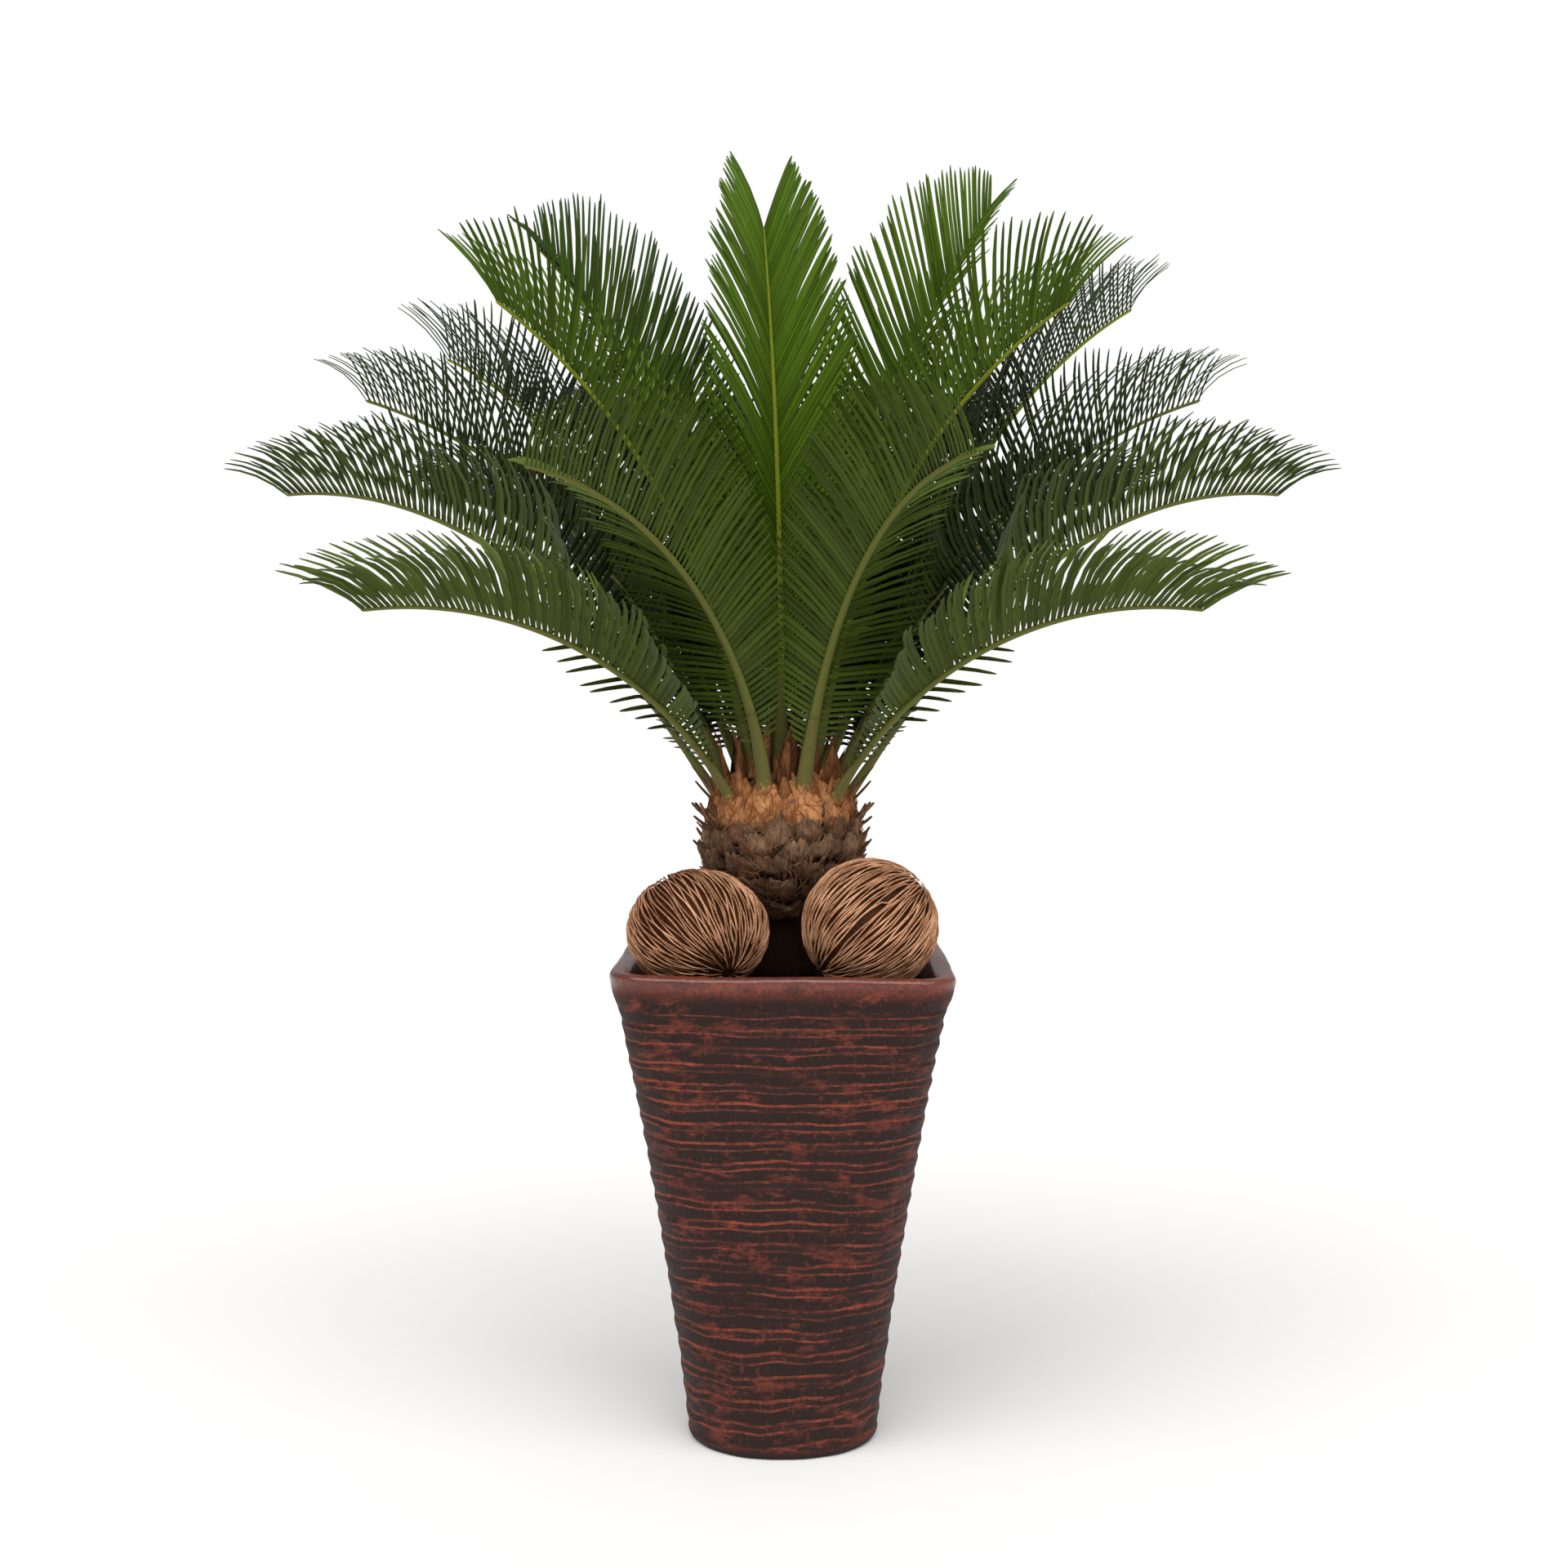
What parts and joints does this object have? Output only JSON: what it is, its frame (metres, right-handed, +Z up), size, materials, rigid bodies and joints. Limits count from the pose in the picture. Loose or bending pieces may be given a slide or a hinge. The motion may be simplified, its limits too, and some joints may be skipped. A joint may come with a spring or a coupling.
{
  "type": "potted sago palm",
  "caption": "Sago palm with a crown of stiff feathery fronds on a short scaly trunk, in a tall ridged tapering pot with fibrous seed balls on the soil.",
  "frame": {"origin": "centre of the pot's flat underside", "axes": "+Z up along the pot and the trunk, -Y towards the front where the seed balls lie, +X to the plant's right as seen from the front"},
  "size_m": [0.7754, 0.6643, 0.8814],
  "materials": {
    "pot": "satin",
    "soil": "matte",
    "trunk": "matte",
    "seed_ball": "matte",
    "frond": "satin"
  },
  "bodies": {
    "root": {"pot": "pot", "soil": "soil", "trunk": "trunk", "seed_ball_left": "seed_ball", "seed_ball_right": "seed_ball", "frond_low_front_left": "frond", "frond_low_front_right": "frond", "frond_low_side_left": "frond", "frond_low_side_right": "frond", "frond_low_back_left": "frond", "frond_low_back_right": "frond", "frond_low_rear_left": "frond", "frond_low_rear_right": "frond", "frond_mid_side_left": "frond", "frond_mid_side_right": "frond", "frond_mid_back_left": "frond", "frond_mid_back_right": "frond", "frond_mid_rear_left": "frond", "frond_mid_rear_right": "frond", "frond_front_left": "frond", "frond_front_right": "frond", "frond_high_side_left": "frond", "frond_high_side_right": "frond", "frond_high_back_left": "frond", "frond_high_back_right": "frond", "frond_low_centre": "frond", "frond_mid_centre": "frond", "frond_top": "frond"}
  },
  "joints": []
}
